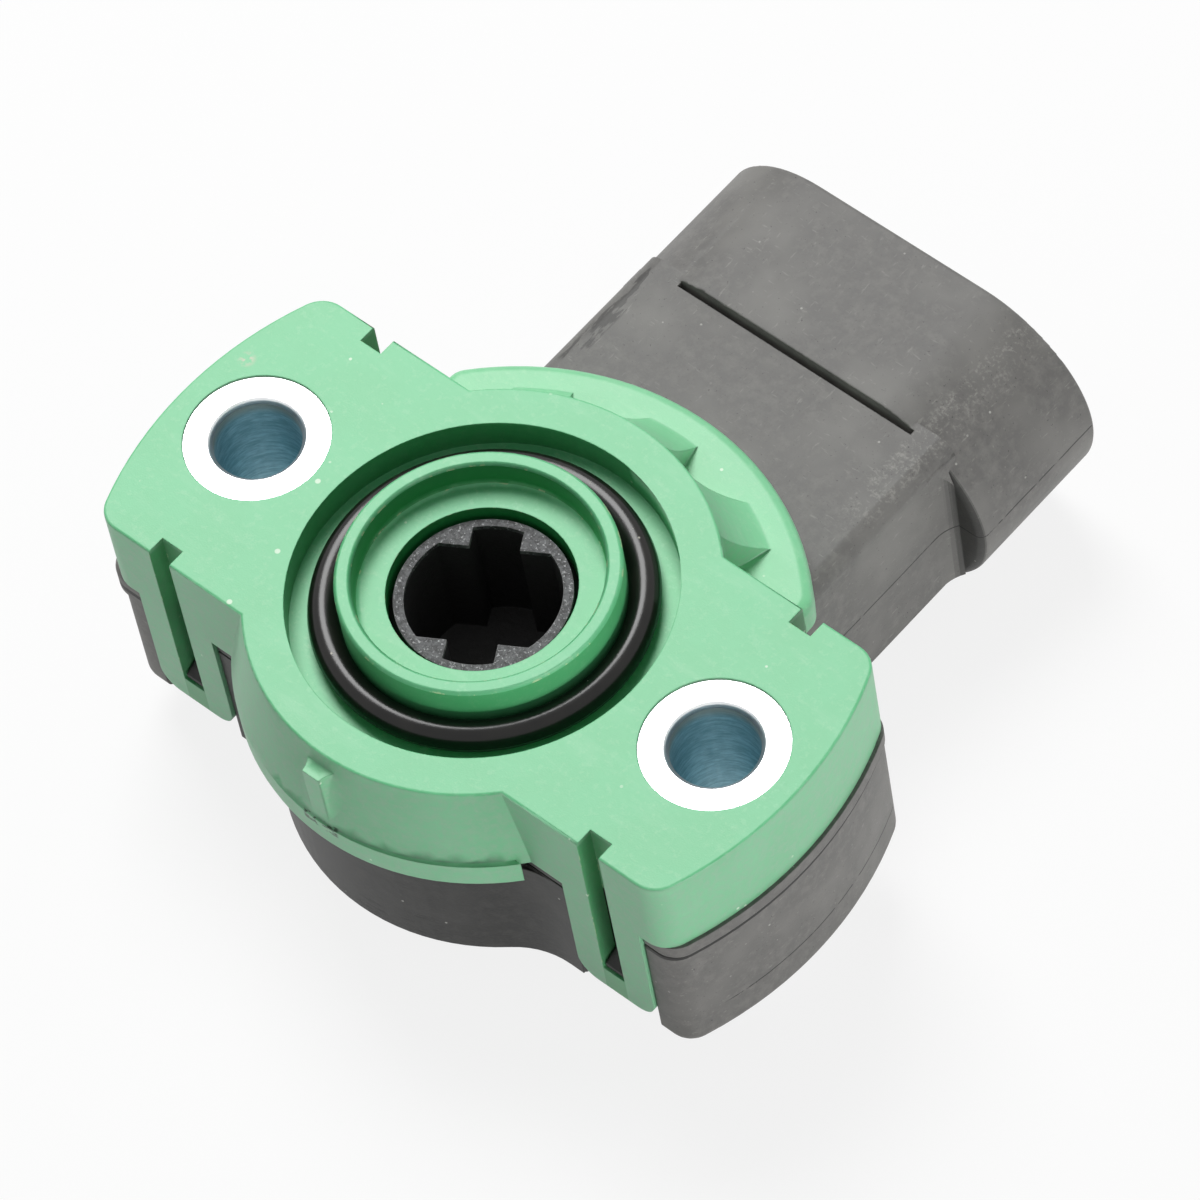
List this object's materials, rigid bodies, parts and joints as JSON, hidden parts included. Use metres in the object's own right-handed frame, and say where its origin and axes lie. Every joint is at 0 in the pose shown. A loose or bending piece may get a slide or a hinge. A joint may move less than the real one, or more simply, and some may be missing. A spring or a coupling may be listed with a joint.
{
  "type": "rotary position sensor",
  "caption": "Flanged rotary position sensor: green cover with bolted ears, a cross socket rotor, a face seal ring and a black oval plug shroud.",
  "frame": {"origin": "rotor axis at the mounting face, midway between the two bolt holes", "axes": "+Z along the rotor axis out of the mounting face, +X along the bolt line, +Y towards the plug shroud"},
  "size_m": [0.0514, 0.0563, 0.0269],
  "materials": {
    "green_plastic": "satin moulded",
    "black_plastic": "grainy moulded, glass filled",
    "rotor_plastic": "grainy moulded",
    "white_plastic": "smooth",
    "zinc_steel": "zinc plated, turned",
    "spring_steel": "hardened strip",
    "seal_rubber": "moulded, slight sheen",
    "contact_bronze": "stamped",
    "tinned_brass": "tin plated",
    "board_ceramic": "fired, matt",
    "carbon_ink": "printed",
    "silver_ink": "printed"
  },
  "bodies": {
    "sensor_body": {"cover": "green_plastic", "housing": "black_plastic", "bushing_left": "zinc_steel", "bushing_right": "zinc_steel", "face_seal_ring": "seal_rubber", "body_gasket": "seal_rubber", "shaft_seal": "seal_rubber", "spring_washer": "spring_steel", "thrust_washer": "white_plastic", "resistor_board": "board_ceramic", "resistive_track": "carbon_ink", "collector_track": "silver_ink", "terminal_supply": "tinned_brass", "terminal_signal": "tinned_brass", "terminal_ground": "tinned_brass", "contact_supply": "contact_bronze", "contact_signal": "contact_bronze", "contact_ground": "contact_bronze"},
    "rotor": {"rotor": "rotor_plastic", "wiper_carrier": "white_plastic", "wiper": "contact_bronze"}
  },
  "joints": [
    {"name": "rotor_turn", "type": "hinge", "parent": "sensor_body", "child": "rotor", "pos_m": [0, 0, 0], "axis": [0, 0, 1], "range_deg": [0, 100]}
  ]
}
